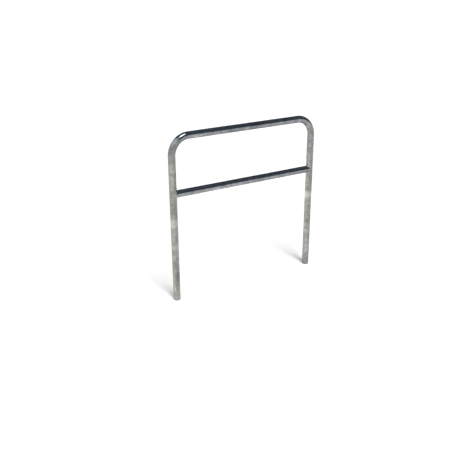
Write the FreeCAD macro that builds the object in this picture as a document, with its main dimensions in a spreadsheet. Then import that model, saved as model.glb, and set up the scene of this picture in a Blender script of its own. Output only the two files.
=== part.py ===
import FreeCAD, Part
import os
from math import cos, hypot, pi, sin

import Sketcher
from FreeCAD import Vector

# A hoop bike rack: one round tube bent into a hoop, with a mid rail of the same tube welded between
# its legs, all hot-dip galvanised. The hoop stands in the XZ plane. X runs along it, Y is its
# thickness and Z is up. The origin lies midway between the two leg ends, on the ground.

document = FreeCAD.newDocument("hoop_bike_rack")


# Driving dimensions, in millimetres: a name, a value and what it measures
DIMENSIONS = (
    ("tube_diameter", 42.4, "outside of both tubes"),
    ("tube_wall", 2.6, "wall of both tubes"),
    ("hoop_width", 1000, "from the outside of one leg to the outside of the other"),
    ("hoop_height", 1000, "from the leg ends to the top of the upper bar"),
    ("bend_radius", 106, "of the tube's centre line at both corners"),
    ("crossbar_height", 655, "from the leg ends to the mid rail's centre line"),
    ("edge_break", 0.5, "chamfer on the cut edges of the leg ends"),
    ("saddle_gap", 0.3, "fit-up gap between the mid rail's saddle cut and the leg"),
    ("vent_diameter", 12, "drain and vent hole through each leg's wall, inside the mid rail"),
    ("bead_reach", 4, "from the joint to each edge of the weld bead, on the mid rail and on the leg"),
    ("bead_height", 1, "of the bead's middle over the straight line between its two edges"),
    ("bead_flank_step", 3, "how far the joint's line is rounded off where the tubes run flush, at its sides"),
    ("bead_flank_reach", 5, "from that rounded line back to the bead's edge on the leg, at those sides"),
)

sizes = document.addObject("Spreadsheet::Sheet", "Sizes")
for row, (name, value, meaning) in enumerate(DIMENSIONS, start=1):
    sizes.set(f"A{row}", meaning)
    sizes.set(f"B{row}", str(value))
    sizes.setAlias(f"B{row}", name)
document.recompute()

# Sizes that follow from the driving ones, as expressions
TUBE_RADIUS = "Sizes.tube_diameter / 2"
BORE_RADIUS = "Sizes.tube_diameter / 2 - Sizes.tube_wall"
LEG_SPACING = "Sizes.hoop_width - Sizes.tube_diameter"
HALF_SPACING = "(Sizes.hoop_width - Sizes.tube_diameter) / 2"
TOP_BAR_HEIGHT = "Sizes.hoop_height - Sizes.tube_diameter / 2"


# Sketch helpers: the numbers that a sketch gives its axes and the points of its lines and arcs
Y_AXIS, X_AXIS = range(-2, 0)
START, END, CENTRE = range(1, 4)
ORIGIN = (X_AXIS, START)


def new_body(name):
    """A body whose label names the file that it is written to."""
    body = document.addObject("PartDesign::Body", name)
    body.Label = name
    return body


def new_sketch(body, name, plane):
    """A sketch on one of the body's own origin planes."""
    sketch = body.newObject("Sketcher::SketchObject", name)
    support = next(f for f in body.Origin.OriginFeatures if f.Role == plane)
    sketch.AttachmentSupport = (support, [""])
    sketch.MapMode = "FlatFace"
    return sketch


def value_of(expression):
    """What an expression comes to, as a plain number."""
    return float(sizes.evalExpression(expression))


def bind(sketch, name, expression, kind, *places):
    """Adds a dimension to the sketch and binds it to the sheet."""
    index = sketch.addConstraint(Sketcher.Constraint(kind, *places, value_of(expression)))
    sketch.renameConstraint(index, name)
    sketch.setExpression(f"Constraints.{name}", expression)


def add_line(sketch, start, end):
    """A straight line from one (x, y) point of the sketch to another."""
    return sketch.addGeometry(Part.LineSegment(Vector(*start), Vector(*end)), False)


def add_arc(sketch, centre, radius, first_angle, last_angle):
    """An arc drawn anticlockwise round an (x, y) point of the sketch."""
    circle = Part.Circle(Vector(*centre), Vector(0, 0, 1), radius)
    return sketch.addGeometry(Part.ArcOfCircle(circle, first_angle, last_angle), False)


def add_circle(sketch, name, centre, radius):
    """A circle round an (x, y) point of the sketch, its radius bound to the sheet."""
    index = sketch.addGeometry(Part.Circle(Vector(*centre), Vector(0, 0, 1), value_of(radius)), False)
    bind(sketch, name, radius, "Radius", index)
    return index


# The hoop's centre line: up one leg, round both corners along the top, and down the other leg
def draw_centre_line(sketch):
    half = value_of(HALF_SPACING)
    top = value_of(TOP_BAR_HEIGHT)
    bend = sizes.bend_radius
    shoulder = top - bend
    corner = half - bend
    left_leg = add_line(sketch, (-half, 0), (-half, shoulder))
    left_arc = add_arc(sketch, (-corner, shoulder), bend, pi / 2, pi)
    top_bar = add_line(sketch, (-corner, top), (corner, top))
    right_arc = add_arc(sketch, (corner, shoulder), bend, 0, pi / 2)
    right_leg = add_line(sketch, (half, shoulder), (half, 0))
    sketch.addConstraint(
        [
            Sketcher.Constraint("Tangent", left_leg, END, left_arc, END),
            Sketcher.Constraint("Tangent", left_arc, START, top_bar, START),
            Sketcher.Constraint("Tangent", top_bar, END, right_arc, END),
            Sketcher.Constraint("Tangent", right_arc, START, right_leg, START),
            Sketcher.Constraint("Vertical", left_leg),
            Sketcher.Constraint("Horizontal", top_bar),
            Sketcher.Constraint("Equal", left_arc, right_arc),
            Sketcher.Constraint("PointOnObject", left_leg, START, X_AXIS),
            Sketcher.Constraint("Symmetric", left_leg, START, right_leg, END, *ORIGIN),
        ]
    )
    bind(sketch, "leg_spacing", LEG_SPACING, "DistanceX", left_leg, START, right_leg, END)
    bind(sketch, "top_bar_height", TOP_BAR_HEIGHT, "DistanceY", *ORIGIN, top_bar, START)
    bind(sketch, "bend_radius", "Sizes.bend_radius", "Radius", left_arc)


def edges_at_ground(shape):
    """The names of the edges that lie flat on the ground plane, the rims of the leg ends."""
    names = []
    same_height = Part.Precision.confusion()
    for number, edge in enumerate(shape.Edges, start=1):
        box = edge.BoundBox
        if max(abs(box.ZMin), abs(box.ZMax)) < same_height:
            names.append(f"Edge{number}")
    return names


# Hoop: the tube's ring section swept along the centre line, vented into the mid rail
def make_hoop():
    body = new_body("hoop")
    path = new_sketch(body, "hoop_centre_line", "XZ_Plane")
    draw_centre_line(path)

    section = new_sketch(body, "hoop_section", "XY_Plane")
    leg_axis = (-value_of(HALF_SPACING), 0)
    outer = add_circle(section, "outside", leg_axis, TUBE_RADIUS)
    inner = add_circle(section, "bore", leg_axis, BORE_RADIUS)
    section.addConstraint(Sketcher.Constraint("Coincident", outer, CENTRE, inner, CENTRE))
    section.addConstraint(Sketcher.Constraint("PointOnObject", outer, CENTRE, X_AXIS))
    bind(section, "leg_axis", HALF_SPACING, "DistanceX", outer, CENTRE, *ORIGIN)
    document.recompute()

    tube = body.newObject("PartDesign::AdditivePipe", "hoop_tube")
    tube.Profile = section
    tube.Spine = (path, [f"Edge{number}" for number in range(1, path.GeometryCount + 1)])
    document.recompute()

    vents = new_sketch(body, "vent_circle", "YZ_Plane")
    vent = add_circle(vents, "vent_radius", (0, sizes.crossbar_height), "Sizes.vent_diameter / 2")
    vents.addConstraint(Sketcher.Constraint("PointOnObject", vent, CENTRE, Y_AXIS))
    bind(vents, "vent_height", "Sizes.crossbar_height", "DistanceY", *ORIGIN, vent, CENTRE)
    document.recompute()

    # Reaching from leg axis to leg axis, the cut opens only the two inner walls
    bores = body.newObject("PartDesign::Pocket", "vent_holes")
    bores.Profile = vents
    bores.Type = "Length"
    bores.SideType = "Symmetric"
    bores.setExpression("Length", LEG_SPACING)
    document.recompute()

    rims = body.newObject("PartDesign::Chamfer", "leg_end_chamfers")
    rims.Base = (bores, edges_at_ground(bores.Shape))
    rims.setExpression("Size", "Sizes.edge_break")
    body.Tip = rims
    document.recompute()
    return body


# Mid rail: a straight tube whose ends are saddle-cut to sit against the legs
def make_crossbar():
    body = new_body("crossbar")
    section = new_sketch(body, "crossbar_section", "YZ_Plane")
    outer = add_circle(section, "outside", (0, 0), TUBE_RADIUS)
    inner = add_circle(section, "bore", (0, 0), BORE_RADIUS)
    section.addConstraint(Sketcher.Constraint("Coincident", outer, CENTRE, *ORIGIN))
    section.addConstraint(Sketcher.Constraint("Coincident", inner, CENTRE, *ORIGIN))
    document.recompute()

    tube = body.newObject("PartDesign::Pad", "crossbar_tube")
    tube.Profile = section
    tube.SideType = "Symmetric"
    tube.setExpression("Length", LEG_SPACING)
    document.recompute()

    saddles = new_sketch(body, "saddle_circles", "XY_Plane")
    reach = value_of(HALF_SPACING)
    saddle_radius = f"{TUBE_RADIUS} + Sizes.saddle_gap"
    left = add_circle(saddles, "left_saddle", (-reach, 0), saddle_radius)
    right = add_circle(saddles, "right_saddle", (reach, 0), saddle_radius)
    saddles.addConstraint(Sketcher.Constraint("PointOnObject", left, CENTRE, X_AXIS))
    saddles.addConstraint(Sketcher.Constraint("PointOnObject", right, CENTRE, X_AXIS))
    bind(saddles, "left_leg_axis", HALF_SPACING, "DistanceX", left, CENTRE, *ORIGIN)
    bind(saddles, "right_leg_axis", HALF_SPACING, "DistanceX", *ORIGIN, right, CENTRE)
    document.recompute()

    cut = body.newObject("PartDesign::Pocket", "saddle_cuts")
    cut.Profile = saddles
    cut.Type = "ThroughAll"
    cut.SideType = "Symmetric"
    body.Tip = cut
    body.setExpression("Placement.Base.z", "Sizes.crossbar_height")
    document.recompute()
    return body


# How many sections shape the weld bead round the joint, and how many flat strips lie across its face
SECTIONS_ROUND_JOINT = 40
STRIPS_ACROSS_BEAD = 6
# How far the face runs on into the metal, as a multiple of the way from its middle to an edge
RUN_ON = 1.25


def bead_section(angle):
    """The corners of the bead's section, each as (along the mid rail, off its axis), at an angle
    round the mid rail from its top. The face is a parabola through the bead's edges on the leg and
    on the mid rail, and the last corner is the root, which lies at the tube's bore."""
    radius = sizes.tube_diameter / 2
    step = sizes.bead_flank_step
    joint = hypot(radius * cos(angle), step)
    # From 0 at the joint's sides to 1 at its top and bottom
    crown = (joint - step) / (hypot(radius, step) - step)
    back = sizes.bead_flank_reach * sin(angle) ** 2
    leg_edge = Vector(joint - back, radius + sizes.bead_reach * crown)
    rail_edge = Vector(joint + sizes.bead_reach, radius)
    middle = (leg_edge + rail_edge) / 2
    half_width = (rail_edge - leg_edge) / 2
    outward = Vector(-half_width.y, half_width.x).normalize()
    corners = []
    for strip in range(STRIPS_ACROSS_BEAD + 1):
        across = RUN_ON * (2 * strip / STRIPS_ACROSS_BEAD - 1)
        corners.append(middle + half_width * across + outward * sizes.bead_height * (1 - across**2))
    corners.append(Vector(joint - sizes.tube_wall * crown, radius - sizes.tube_wall))
    return corners


def bead_line(angles, corners):
    """A smooth closed line round the joint, through one corner of the section at each angle."""
    points = []
    for angle, corner in zip(angles, corners):
        points.append(Vector(corner.x, -corner.y * sin(angle), corner.y * cos(angle)))
    line = Part.BSplineCurve()
    line.interpolate(Points=points, PeriodicFlag=True, Parameters=list(range(len(points) + 1)))
    return line.toShape()


def bead_ring():
    """The bead before trimming: lines round the joint, with a ruled face from each to the next."""
    angles = [2 * pi * step / SECTIONS_ROUND_JOINT for step in range(SECTIONS_ROUND_JOINT)]
    sections = [bead_section(angle) for angle in angles]
    lines = [bead_line(angles, corners) for corners in zip(*sections)]
    following = lines[1:] + lines[:1]
    skin = Part.makeShell([Part.makeRuledSurface(*pair) for pair in zip(lines, following)])
    skin.sewShape()
    return Part.makeSolid(skin)


# Weld bead: a ring round the saddle joint, trimmed to the faces of the leg and of the mid rail.
# It is modelled with the leg's axis on Z and the mid rail leaving along +X, then turned and placed.
def make_weld(name, side):
    ring = document.addObject("Part::Feature", f"{name}_ring")
    ring.Shape = bead_ring()

    reach = f"{TUBE_RADIUS} + 2 * Sizes.bead_reach"
    leg = document.addObject("Part::Cylinder", f"{name}_leg_face")
    leg.setExpression("Radius", TUBE_RADIUS)
    leg.setExpression("Height", f"2 * ({reach})")
    leg.setExpression("Placement.Base.z", f"-({reach})")

    rail = document.addObject("Part::Cylinder", f"{name}_rail_face")
    rail.setExpression("Radius", TUBE_RADIUS)
    rail.setExpression("Height", reach)
    rail.Placement.Rotation = FreeCAD.Rotation(Vector(0, 1, 0), 90)

    tubes = document.addObject("Part::MultiFuse", f"{name}_tube_faces")
    tubes.Shapes = [leg, rail]
    bead = document.addObject("Part::Cut", name)
    bead.Label = name
    bead.Base = ring
    bead.Tool = tubes
    bead.Refine = False
    bead.Placement.Rotation = FreeCAD.Rotation(Vector(0, 0, 1), 0 if side < 0 else 180)
    bead.setExpression("Placement.Base.x", f"{side} * ({HALF_SPACING})")
    bead.setExpression("Placement.Base.z", "Sizes.crossbar_height")
    document.recompute()
    return bead


subparts = [
    make_hoop(),
    make_crossbar(),
    make_weld("crossbar_weld_left", -1),
    make_weld("crossbar_weld_right", 1),
]


# Every object must have recomputed cleanly and every sub-part must be one sound solid
document.recompute()
for item in document.Objects:
    if "Invalid" in item.State or "Error" in item.State:
        raise RuntimeError(f"{item.Name} did not recompute: {item.State}")
for part in subparts:
    if part.Shape.isNull() or not part.Shape.isValid() or len(part.Shape.Solids) != 1:
        raise RuntimeError(f"{part.Label} is not one sound solid")

os.makedirs("parts", exist_ok=True)
for part in subparts:
    part.Shape.exportStep(f"parts/{part.Label}.step")
    box = part.Shape.BoundBox
    print(
        f"{part.Label}: {part.Shape.Volume / 1000:.2f} cm3,",
        f"{box.XLength:.2f} x {box.YLength:.2f} x {box.ZLength:.2f} mm",
    )
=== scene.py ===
from math import cos, hypot, pi, radians, sin, sqrt

import bpy
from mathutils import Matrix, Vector, noise


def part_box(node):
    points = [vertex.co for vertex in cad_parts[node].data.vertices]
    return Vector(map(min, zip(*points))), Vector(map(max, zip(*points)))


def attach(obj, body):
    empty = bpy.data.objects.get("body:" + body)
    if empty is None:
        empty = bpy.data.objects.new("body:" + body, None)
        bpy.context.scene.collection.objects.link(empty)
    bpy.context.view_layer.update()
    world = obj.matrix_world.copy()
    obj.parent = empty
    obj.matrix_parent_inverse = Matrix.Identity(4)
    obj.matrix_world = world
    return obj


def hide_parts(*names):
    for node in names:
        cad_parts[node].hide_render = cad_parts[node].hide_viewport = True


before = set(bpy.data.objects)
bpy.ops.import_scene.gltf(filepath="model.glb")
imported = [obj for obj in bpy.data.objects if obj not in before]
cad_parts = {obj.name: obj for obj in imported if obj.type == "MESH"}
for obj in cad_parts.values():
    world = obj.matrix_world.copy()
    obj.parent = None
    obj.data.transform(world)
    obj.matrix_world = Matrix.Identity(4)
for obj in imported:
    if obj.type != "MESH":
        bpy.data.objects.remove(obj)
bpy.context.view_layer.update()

# A galvanised hoop bike rack: a bent tube with a mid rail welded between its legs.
# Everything is in metres, in the CAD's frame: X along the hoop, Y its thickness, Z up.


# Sizes read from the frame's nodes
hoop_low, hoop_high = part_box("hoop")
rail_low, rail_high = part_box("crossbar")
TUBE_RADIUS = (hoop_high.y - hoop_low.y) / 2
LEG_X = hoop_high.x - TUBE_RADIUS
TOP_BAR_Z = hoop_high.z - TUBE_RADIUS
RAIL_Z = (rail_high.z + rail_low.z) / 2

# Sizes that a node's box doesn't give
TUBE_WALL = 0.0026
BORE_RADIUS = TUBE_RADIUS - TUBE_WALL
BEND_RADIUS = 0.106
EDGE_BREAK = 0.0005
SADDLE_GAP = 0.0003

# How finely the tubes are meshed: points round them, and the spacing of rings along them
POINTS_ROUND = 96
RING_SPACING = 0.004
BORE_RING_SPACING = 0.03

UP = Vector((0, 0, 1))
ACROSS = Vector((0, 1, 0))
RIGHT = Vector((1, 0, 0))


# Zinc coat: slight swells all over, and on them finer ones, given as shares of the broad ones
SWELL_HEIGHT = 0.00012
SWELLS_PER_METRE = 34
FINE_HEIGHT_SHARE = 0.4
FINE_PER_BROAD = 2.7
FINE_SHIFT = Vector((7, 3, 5))


def swell(point):
    """How far the zinc stands off the steel at a point, in metres."""
    broad = noise.noise(point * SWELLS_PER_METRE)
    fine = noise.noise(point * SWELLS_PER_METRE * FINE_PER_BROAD + FINE_SHIFT)
    return SWELL_HEIGHT * (broad + FINE_HEIGHT_SHARE * fine)


def make_mesh(name, verts, faces, material):
    """A smooth-shaded mesh object from its points and faces."""
    mesh = bpy.data.meshes.new(name)
    mesh.from_pydata(verts, [], faces)
    mesh.validate()
    mesh.shade_smooth()
    mesh.materials.append(material)
    piece = bpy.data.objects.new(name, mesh)
    bpy.context.scene.collection.objects.link(piece)
    return piece


def closed_faces(rings, points):
    """Quads that join each ring of points to the next, closed up both ways round."""
    faces = []
    for ring in range(rings):
        here, there = ring * points, (ring + 1) % rings * points
        for point in range(points):
            beside = (point + 1) % points
            faces.append((here + point, here + beside, there + beside, there + point))
    return faces


def spaced(start, end, spacing):
    """Evenly spaced values from start up to but not including end."""
    count = max(1, round(abs(end - start) / spacing))
    return [start + (end - start) * step / count for step in range(count)]


# Hoop
SHOULDER_Z = TOP_BAR_Z - BEND_RADIUS
CORNER_X = LEG_X - BEND_RADIUS
BEND_LENGTH = BEND_RADIUS * pi / 2
HOOP_LENGTH = 2 * (SHOULDER_Z + BEND_LENGTH + CORNER_X)


def hoop_place(along):
    """The hoop's centre line at a distance from the left foot: a point, and the way out of the hoop."""
    if along > HOOP_LENGTH / 2:
        point, out = hoop_place(HOOP_LENGTH - along)
        return Vector((-point.x, 0, point.z)), Vector((-out.x, 0, out.z))
    if along < SHOULDER_Z:
        return Vector((-LEG_X, 0, along)), -RIGHT
    turned = (along - SHOULDER_Z) / BEND_RADIUS
    if turned < pi / 2:
        out = Vector((-cos(turned), 0, sin(turned)))
        return Vector((-CORNER_X, 0, SHOULDER_Z)) + BEND_RADIUS * out, out
    return Vector((along - SHOULDER_Z - BEND_LENGTH - CORNER_X, 0, TOP_BAR_Z)), UP


def make_hoop(material):
    """The bent tube with its open bore, its legs' ends chamfered."""
    first, last = EDGE_BREAK, HOOP_LENGTH - EDGE_BREAK
    outside = spaced(first, last, RING_SPACING) + [last]
    bore = spaced(last, first, BORE_RING_SPACING) + [first]
    rings = [(along, TUBE_RADIUS, True) for along in outside]
    rings.append((HOOP_LENGTH, TUBE_RADIUS - EDGE_BREAK, False))
    rings.append((HOOP_LENGTH, BORE_RADIUS + EDGE_BREAK, False))
    rings += [(along, BORE_RADIUS, False) for along in bore]
    rings.append((0, BORE_RADIUS + EDGE_BREAK, False))
    rings.append((0, TUBE_RADIUS - EDGE_BREAK, False))

    verts = []
    for along, radius, coated in rings:
        centre, out = hoop_place(along)
        for step in range(POINTS_ROUND):
            turn = 2 * pi * step / POINTS_ROUND
            way = cos(turn) * out + sin(turn) * ACROSS
            point = centre + radius * way
            if coated:
                point += swell(point) * way
            verts.append(point)
    return make_mesh("hoop_tube", verts, closed_faces(len(rings), POINTS_ROUND), material)


# Mid rail
def saddle_end(radius, turn):
    """How far out from the middle the mid rail's metal reaches, where it meets the leg's round face."""
    return LEG_X - sqrt((TUBE_RADIUS + SADDLE_GAP) ** 2 - (radius * sin(turn)) ** 2)


def make_crossbar(material):
    """The mid rail with its open bore, its ends cut to the legs' round faces."""
    outside = spaced(-1, 1, RING_SPACING / LEG_X) + [1]
    bore = spaced(1, -1, BORE_RING_SPACING / LEG_X) + [-1]
    rings = [(share, TUBE_RADIUS, True) for share in outside]
    rings += [(share, BORE_RADIUS, False) for share in bore]

    verts = []
    for share, radius, coated in rings:
        for step in range(POINTS_ROUND):
            turn = 2 * pi * step / POINTS_ROUND
            way = Vector((0, sin(turn), cos(turn)))
            point = Vector((share * saddle_end(radius, turn), 0, RAIL_Z)) + radius * way
            if coated:
                point += swell(point) * way
            verts.append(point)
    return make_mesh("crossbar_tube", verts, closed_faces(len(rings), POINTS_ROUND), material)


# Weld beads: a low convex fillet round each saddle joint, laid in overlapping ripples
BEAD_REACH = 0.004
BEAD_HEIGHT = 0.001
BEAD_FLANK_STEP = 0.003
BEAD_FLANK_REACH = 0.005
# How far the bead's curve runs on into the tubes, where its visible half width is 1
BEAD_RUN_ON = 1.25
RIPPLES = 52
RIPPLE_HEIGHT = 0.00028
# The share of a ripple's height that lies under the bead's plain face
RIPPLE_SUNK = 0.6
RIPPLE_CURVE = 0.9
RINGS_PER_RIPPLE = 8
RINGS_ROUND_BEAD = RIPPLES * RINGS_PER_RIPPLE
POINTS_ACROSS_BEAD = 15


def bead_section(angle):
    """One section of the bead, as (along the rail from the leg's axis, off the rail's axis) pairs."""
    joint = hypot(TUBE_RADIUS * cos(angle), BEAD_FLANK_STEP)
    crown = (joint - BEAD_FLANK_STEP) / (hypot(TUBE_RADIUS, BEAD_FLANK_STEP) - BEAD_FLANK_STEP)
    leg_edge = Vector((joint - BEAD_FLANK_REACH * sin(angle) ** 2, TUBE_RADIUS + BEAD_REACH * crown))
    rail_edge = Vector((joint + BEAD_REACH, TUBE_RADIUS))
    middle = (leg_edge + rail_edge) / 2
    half_width = (rail_edge - leg_edge) / 2
    outward = Vector((-half_width.y, half_width.x)).normalized()
    section = []
    for step in range(POINTS_ACROSS_BEAD):
        across = BEAD_RUN_ON * (2 * step / (POINTS_ACROSS_BEAD - 1) - 1)
        bow = 1 - across**2
        laid = RIPPLES * angle / (2 * pi) + RIPPLE_CURVE * across**2
        ripple = RIPPLE_HEIGHT * max(0, bow) * (abs(cos(pi * laid)) - RIPPLE_SUNK)
        section.append(middle + half_width * across + (BEAD_HEIGHT * bow + ripple) * outward)
    section.append(Vector((joint - TUBE_WALL * crown, BORE_RADIUS)))
    return section


def make_bead(name, side, material):
    """The weld bead at one end of the mid rail: side is -1 at the left leg and 1 at the right."""
    verts = []
    for ring in range(RINGS_ROUND_BEAD):
        angle = 2 * pi * ring / RINGS_ROUND_BEAD
        section = bead_section(angle)
        for along, off in section:
            verts.append(Vector((side * (LEG_X - along), side * off * sin(angle), RAIL_Z + off * cos(angle))))
    return make_mesh(name, verts, closed_faces(RINGS_ROUND_BEAD, len(section)), material)


# Shader nodes
def add(tree, kind, **settings):
    """A new node of a shader tree, with its own settings."""
    made = tree.nodes.new(kind)
    for name, value in settings.items():
        setattr(made, name, value)
    return made


def connect(tree, socket, value):
    """Links a value to a node's input where it is another's output, and sets it there if not."""
    if isinstance(value, bpy.types.NodeSocket):
        tree.links.new(value, socket)
    else:
        socket.default_value = value


def feed(tree, target, **inputs):
    """Links or sets a node's inputs by name, an underscore standing for a space."""
    for name, value in inputs.items():
        connect(tree, target.inputs[name.replace("_", " ")], value)
    return target


def feed_in_order(tree, target, *values):
    """Links or sets a node's inputs in their order, and gives its first output."""
    for socket, value in zip(target.inputs, values):
        connect(tree, socket, value)
    return target.outputs[0]


def combine(tree, operation, *values):
    """The sum, product or the like of values or sockets."""
    return feed_in_order(tree, add(tree, "ShaderNodeMath", operation=operation), *values)


def combine_vectors(tree, operation, *values):
    """The sum, product or the like of vectors or sockets."""
    return feed_in_order(tree, add(tree, "ShaderNodeVectorMath", operation=operation), *values)


def how_far(tree, value, middle):
    """How far a value lies from another, to either side."""
    return combine(tree, "ABSOLUTE", combine(tree, "SUBTRACT", value, middle))


def remap(tree, value, low, high, to_low, to_high):
    """A value moved smoothly from one range to another, and held at its ends."""
    made = add(tree, "ShaderNodeMapRange", interpolation_type="SMOOTHSTEP")
    feed(tree, made, Value=value, From_Min=low, From_Max=high, To_Min=to_low, To_Max=to_high)
    return made.outputs["Result"]


def blend(tree, share, first, second):
    """A colour between two, each of them a colour or a socket."""
    made = add(tree, "ShaderNodeMix", data_type="RGBA")
    for socket, value in zip((made.inputs[0], made.inputs[6], made.inputs[7]), (share, first, second)):
        connect(tree, socket, value)
    return made.outputs[2]


def noise_of(tree, where, scale, detail=2.0, roughness=0.5, output="Fac"):
    """A cloud-like noise texture, its scale in cells per metre."""
    made = add(tree, "ShaderNodeTexNoise")
    feed(tree, made, Vector=where, Scale=scale, Detail=detail, Roughness=roughness)
    return made.outputs[output]


# Zinc's crystals: how far their borders fray, as a share of their size, and how much their tone,
# dullness and tilt differ
CRYSTAL_FRAY = 0.35
FRAY_SCALE = 240
CRYSTAL_TONE = (0.9, 1.1)
CRYSTAL_DULLNESS = 0.06
CRYSTAL_TILT = 0.03

# Its clouds, some broad and some the size of a thumb, in cells per metre
BROAD_SCALE = 7
BROAD_TONE = (0.88, 1.12)
SMALL_SCALE = 30
SMALL_TONE = (0.79, 1.21)
SMALL_DULLNESS = (0.04, -0.02)
CLOUD_RANGE = (0.3, 0.7)

# Its skin's fine orange peel
PEEL_SCALE = 900
PEEL_STRENGTH = 0.12
PEEL_HEIGHT = 0.0004

# A brighter band round each leg at mid height, a painted reflection, its edges frayed by the clouds
PAINTED_BAND_Z = 0.485
PAINTED_BAND_HALF_HEIGHT = 0.04
PAINTED_BAND_FRAY = 0.03
PAINTED_BAND_TONE = 1.55

# The legs are painted a little darker and warmer than the bars, in patches, a painted reflection of a warm
# ground, and the right leg is painted a tenth brighter than the left, a painted sheen. The edge is how far
# out from the middle that starts, and where it is whole.
PAINTED_LEG_EDGE = (0.425, 0.455)
PAINTED_LEG_REFLECTION = (0.93, 0.911, 0.8)
PAINTED_RIGHT_LEG_SHEEN = 1.1
REFLECTION_PATCH_SCALE = 11
REFLECTION_PATCH_RANGE = (0.35, 0.65)
REFLECTION_PATCH_LEAST = 0.7

# How strongly the zinc mirrors at a grazing angle
EDGE_TONE = 0.6

TUBE_TINT = (0.248, 0.258, 0.272)
# The weld's tint is paler than the tube's: a painted highlight for the light that the bead catches
WELD_TINT_PAINTED_BRIGHT = (0.36, 0.37, 0.385)


def crystals_of(tree, where, size):
    """A random colour for each crystal of the zinc, the borders between them feathered."""
    fray = noise_of(tree, where, FRAY_SCALE, detail=3, output="Color")
    frayed = combine_vectors(tree, "MULTIPLY_ADD", fray, (CRYSTAL_FRAY * size,) * 3, where)
    crystals = add(tree, "ShaderNodeTexVoronoi", feature="F1")
    return feed(tree, crystals, Vector=frayed, Scale=1 / size).outputs["Color"]


def painted_band_of(tree, height, clouds):
    """The painted reflection band's tone round each leg, and 1 above and below it."""
    frayed = combine(
        tree, "ADD", how_far(tree, height, PAINTED_BAND_Z), combine(tree, "MULTIPLY", clouds, PAINTED_BAND_FRAY)
    )
    return remap(tree, frayed, PAINTED_BAND_FRAY / 2, PAINTED_BAND_FRAY / 2 + PAINTED_BAND_HALF_HEIGHT, PAINTED_BAND_TONE, 1)


def tint_with_painted_reflection(tree, tint, where, side):
    """The metal's tint, with a painted reflection: darker and warmer in patches on the legs."""
    reflection_shaded = tuple(value * shade for value, shade in zip(tint, PAINTED_LEG_REFLECTION))
    patches = remap(tree, noise_of(tree, where, REFLECTION_PATCH_SCALE), *REFLECTION_PATCH_RANGE, REFLECTION_PATCH_LEAST, 1)
    on_legs = remap(tree, how_far(tree, side, 0), *PAINTED_LEG_EDGE, 0, 1)
    return blend(tree, combine(tree, "MULTIPLY", on_legs, patches), (*tint, 1), (*reflection_shaded, 1))


def skin_of(tree, where, crystals):
    """The surface's normal: a fine orange peel, each crystal tilted a little."""
    peel = add(tree, "ShaderNodeBump")
    grain = noise_of(tree, where, PEEL_SCALE)
    feed(tree, peel, Strength=PEEL_STRENGTH, Distance=PEEL_HEIGHT, Height=grain)
    tilted = combine_vectors(tree, "MULTIPLY_ADD", crystals, (CRYSTAL_TILT,) * 3, peel.outputs["Normal"])
    level = combine_vectors(tree, "SUBTRACT", tilted, (CRYSTAL_TILT / 2,) * 3)
    return combine_vectors(tree, "NORMALIZE", level)


def galvanised(name, tint, crystal_size, dullness):
    """Hot-dip zinc: grey metal whose crystals and clouds differ a little in tone, gloss and tilt, with a
    painted reflection band, shade and sheen on the legs.
    """
    material = bpy.data.materials.new(name)
    material.use_nodes = True
    tree = material.node_tree
    shader = next(n for n in tree.nodes if n.type == "BSDF_PRINCIPLED")
    where = add(tree, "ShaderNodeTexCoord").outputs["Object"]
    place = feed(tree, add(tree, "ShaderNodeSeparateXYZ"), Vector=where).outputs
    crystals = crystals_of(tree, where, crystal_size)
    facet = feed(tree, add(tree, "ShaderNodeSeparateColor"), Color=crystals).outputs
    broad = noise_of(tree, where, BROAD_SCALE)
    small = noise_of(tree, where, SMALL_SCALE, detail=4, roughness=0.6)

    tone = remap(tree, facet["Red"], 0, 1, *CRYSTAL_TONE)
    for factor in (
        remap(tree, broad, *CLOUD_RANGE, *BROAD_TONE),
        remap(tree, small, *CLOUD_RANGE, *SMALL_TONE),
        # the painted reflection band round the legs
        painted_band_of(tree, place["Z"], broad),
        # the right leg painted a tenth brighter, a painted sheen
        remap(tree, place["X"], *PAINTED_LEG_EDGE, 1, PAINTED_RIGHT_LEG_SHEEN),
    ):
        tone = combine(tree, "MULTIPLY", tone, factor)
    colour = add(tree, "ShaderNodeVectorMath", operation="SCALE")
    feed(tree, colour, Vector=tint_with_painted_reflection(tree, tint, where, place["X"]), Scale=tone)

    facet_roughness = combine(tree, "MULTIPLY_ADD", facet["Green"], CRYSTAL_DULLNESS, dullness)
    roughness = combine(tree, "ADD", facet_roughness, remap(tree, small, *CLOUD_RANGE, *SMALL_DULLNESS))
    normal = skin_of(tree, where, crystals)
    feed(tree, shader, Base_Color=colour.outputs[0], Metallic=1.0, Roughness=roughness, Normal=normal)
    feed(tree, shader, Specular_Tint=(EDGE_TONE, EDGE_TONE, EDGE_TONE, 1))
    return material


tube_zinc = galvanised("galvanised_tube", TUBE_TINT, crystal_size=0.011, dullness=0.1)
weld_zinc = galvanised("galvanised_weld", WELD_TINT_PAINTED_BRIGHT, crystal_size=0.006, dullness=0.26)


# Pieces
PIECES = (
    (make_hoop(tube_zinc), "galvanised_tube", "hoop"),
    (make_crossbar(tube_zinc), "galvanised_tube", "crossbar"),
    (make_bead("weld_bead_left", -1, weld_zinc), "galvanised_weld", "crossbar_weld_left"),
    (make_bead("weld_bead_right", 1, weld_zinc), "galvanised_weld", "crossbar_weld_right"),
)
for piece, slot, node in PIECES:
    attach(piece, "root")
    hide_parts(node)


# Studio. The camera and the metal see a white floor and a white backdrop. Above the backdrop the
# metal mirrors a pale blue room, slate-dark on the right. The light that they give is plain and even.
def way_to(bearing, rise):
    """The direction at a bearing from +Y towards +X and at a rise over the floor."""
    return Vector((sin(bearing) * cos(rise), cos(bearing) * cos(rise), sin(rise)))


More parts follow.
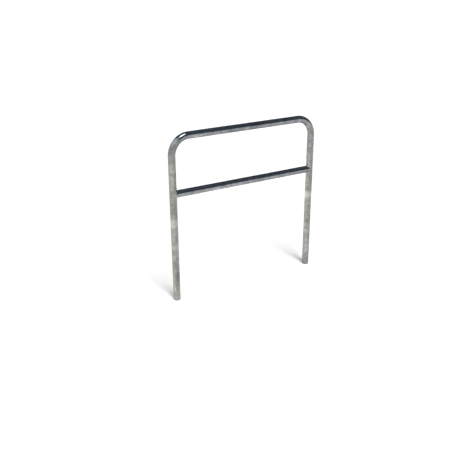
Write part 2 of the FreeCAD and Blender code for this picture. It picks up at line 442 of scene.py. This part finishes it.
WHITE = (1, 1, 1, 1)
ROOM_COLOUR = (1.32, 1.5, 1.75, 1)
ROOM_EDGE = (sin(radians(17.5)), sin(radians(24)))
DARK_COLOUR = (0.124, 0.153, 0.19, 1)
DARK_WAY = way_to(radians(84), radians(26))
DARK_EDGE = (cos(radians(90.5)), cos(radians(84.5)))
# The backdrop's top slopes down to the front, and stands lower on the right
SLOPE_WAY = Vector((0, -0.11, 1))
SLOPE_EDGE = (0.2, 0.24)
RIGHT_EDGE = (0.38, 0.43)
LOW_EDGE = (sin(radians(5.3)), sin(radians(6.3)))
AMBIENT = 0.1
FLOOR_HALF_WIDTH = 40
FLOOR_COLOUR = 0.88
FLOOR_GLOW = 0.33


def seen_directly(tree):
    """1 where the camera or a reflection sees a surface, and 0 where it only lights others."""
    path = add(tree, "ShaderNodeLightPath").outputs
    glossy = combine(tree, "MAXIMUM", path["Is Glossy Ray"], path["Is Transmission Ray"])
    return combine(tree, "MAXIMUM", path["Is Camera Ray"], glossy)


def share_towards(tree, way, edge):
    """0 for the directions far from a way and 1 for those near it, blended between the edge's two values."""
    towards = add(tree, "ShaderNodeVectorMath", operation="DOT_PRODUCT")
    feed_in_order(tree, towards, add(tree, "ShaderNodeTexCoord").outputs["Generated"], way)
    return remap(tree, towards.outputs["Value"], *edge, 0, 1)


def surroundings_of(tree):
    """What the metal mirrors round it: white, the pale room above, and the dark on its right side."""
    room = blend(tree, share_towards(tree, UP, ROOM_EDGE), WHITE, ROOM_COLOUR)
    on_right = combine(
        tree, "MULTIPLY", share_towards(tree, RIGHT, RIGHT_EDGE), share_towards(tree, UP, LOW_EDGE)
    )
    above = combine(tree, "MAXIMUM", share_towards(tree, SLOPE_WAY, SLOPE_EDGE), on_right)
    dark_side = combine(tree, "MULTIPLY", share_towards(tree, DARK_WAY, DARK_EDGE), above)
    return blend(tree, dark_side, room, DARK_COLOUR)


def make_world():
    """The surroundings as they are seen, and the plain light that they give."""
    world = bpy.data.worlds.new("studio")
    bpy.context.scene.world = world
    world.use_nodes = True
    tree = world.node_tree
    tree.nodes.clear()
    seen = feed(tree, add(tree, "ShaderNodeBackground"), Color=surroundings_of(tree), Strength=1.0)
    light = feed(tree, add(tree, "ShaderNodeBackground"), Color=WHITE, Strength=AMBIENT)
    either = add(tree, "ShaderNodeMixShader")
    surface = feed_in_order(tree, either, seen_directly(tree), light.outputs[0], seen.outputs[0])
    feed(tree, add(tree, "ShaderNodeOutputWorld"), Surface=surface)


def make_floor():
    """A pale floor that keeps the hoop's shadow, and glows a little where it is seen."""
    material = bpy.data.materials.new("floor")
    material.use_nodes = True
    tree = material.node_tree
    tree.nodes.clear()
    pale = (FLOOR_COLOUR, FLOOR_COLOUR, FLOOR_COLOUR, 1)
    matt = feed(tree, add(tree, "ShaderNodeBsdfDiffuse"), Color=pale)
    seen_glow = combine(tree, "MULTIPLY", seen_directly(tree), FLOOR_GLOW)
    glow = feed(tree, add(tree, "ShaderNodeEmission"), Strength=seen_glow)
    surface = feed_in_order(tree, add(tree, "ShaderNodeAddShader"), matt.outputs[0], glow.outputs[0])
    feed(tree, add(tree, "ShaderNodeOutputMaterial"), Surface=surface)
    half = FLOOR_HALF_WIDTH
    corners = [(-half, -half, 0), (half, -half, 0), (half, half, 0), (-half, half, 0)]
    make_mesh("floor", corners, [(0, 1, 2, 3)], material)


MIDDLE = Vector((0, 0, 0.5))
LEFT_CORNER = hoop_place(SHOULDER_Z + BEND_LENGTH / 2)[0]
LAMP_DISTANCE = 4
KEY_PLACE = MIDDLE + LAMP_DISTANCE * way_to(bearing=radians(187), rise=radians(27))
KEY_STRENGTH = 5.6
KEY_SPREAD = radians(32)
GLINT_PLACE = LEFT_CORNER + LAMP_DISTANCE * Vector((0, -0.37, 0.93))
GLINT_SIZE = 1.6
GLINT_GLOW = 9
BOARD_HEIGHT = 0.004
BOARD_COLOUR = (1, 0.98, 0.85)


def add_lamp(name, kind, place, rotation, **seen):
    """A lamp that the camera doesn't see. Keyword arguments set what other kinds of ray see it."""
    lamp = bpy.data.lights.new(name, kind)
    made = bpy.data.objects.new(name, lamp)
    made.location = place
    made.rotation_euler = rotation
    made.visible_camera = False
    for ray, shown in seen.items():
        setattr(made, f"visible_{ray}", shown)
    bpy.context.scene.collection.objects.link(made)
    return lamp


def facing_hoop(place):
    """The rotation that turns a lamp at a place towards the hoop's middle."""
    return (MIDDLE - place).to_track_quat("-Z", "Y").to_euler()


def add_board(name, glow, centre, size, turn=0):
    """A warm board that lies on the floor for the metal alone to mirror."""
    board = add_lamp(name, "AREA", (*centre, BOARD_HEIGHT), (pi, 0, turn), diffuse=False)
    board.color = BOARD_COLOUR
    board.shape = "RECTANGLE"
    board.size, board.size_y = size
    board.energy = glow * pi * board.size * board.size_y


def light_studio():
    """A soft key light from the front, a round glow for the left corner, and boards for the legs."""
    key = add_lamp("key", "SUN", KEY_PLACE, facing_hoop(KEY_PLACE), glossy=False)
    key.energy = KEY_STRENGTH
    key.angle = KEY_SPREAD
    glint = add_lamp("glint", "AREA", GLINT_PLACE, facing_hoop(GLINT_PLACE), diffuse=False)
    glint.shape = "DISK"
    glint.size = GLINT_SIZE
    glint.energy = GLINT_GLOW * pi * pi * (GLINT_SIZE / 2) ** 2
    add_board("left_board", glow=0.4, centre=(-2.3, -1.25), size=(3.4, 6.5))
    add_board("back_board", glow=0.49, centre=(-0.25, 0.95), size=(0.97, 2.1))
    add_board("front_board", glow=0.59, centre=(0.16, -0.385), size=(0.3, 0.5), turn=radians(-39))


make_world()
make_floor()
light_studio()


# Camera, placed as the photograph's was found to be
CAMERA_PLACE = (-1.9910, -3.0675, 1.8178)
CAMERA_BEARING = radians(32.214)
CAMERA_TILT = radians(22.628)
SENSOR_WIDTH = 36
FOCAL_LENGTH = 48.95

camera_data = bpy.data.cameras.new("camera")
camera_data.sensor_width = SENSOR_WIDTH
camera_data.lens = FOCAL_LENGTH
camera = bpy.data.objects.new("camera", camera_data)
camera.location = CAMERA_PLACE
camera.rotation_euler = (pi / 2 - CAMERA_TILT, 0, -CAMERA_BEARING)
bpy.context.scene.collection.objects.link(camera)
bpy.context.scene.camera = camera

bpy.context.scene.view_settings.view_transform = "Standard"
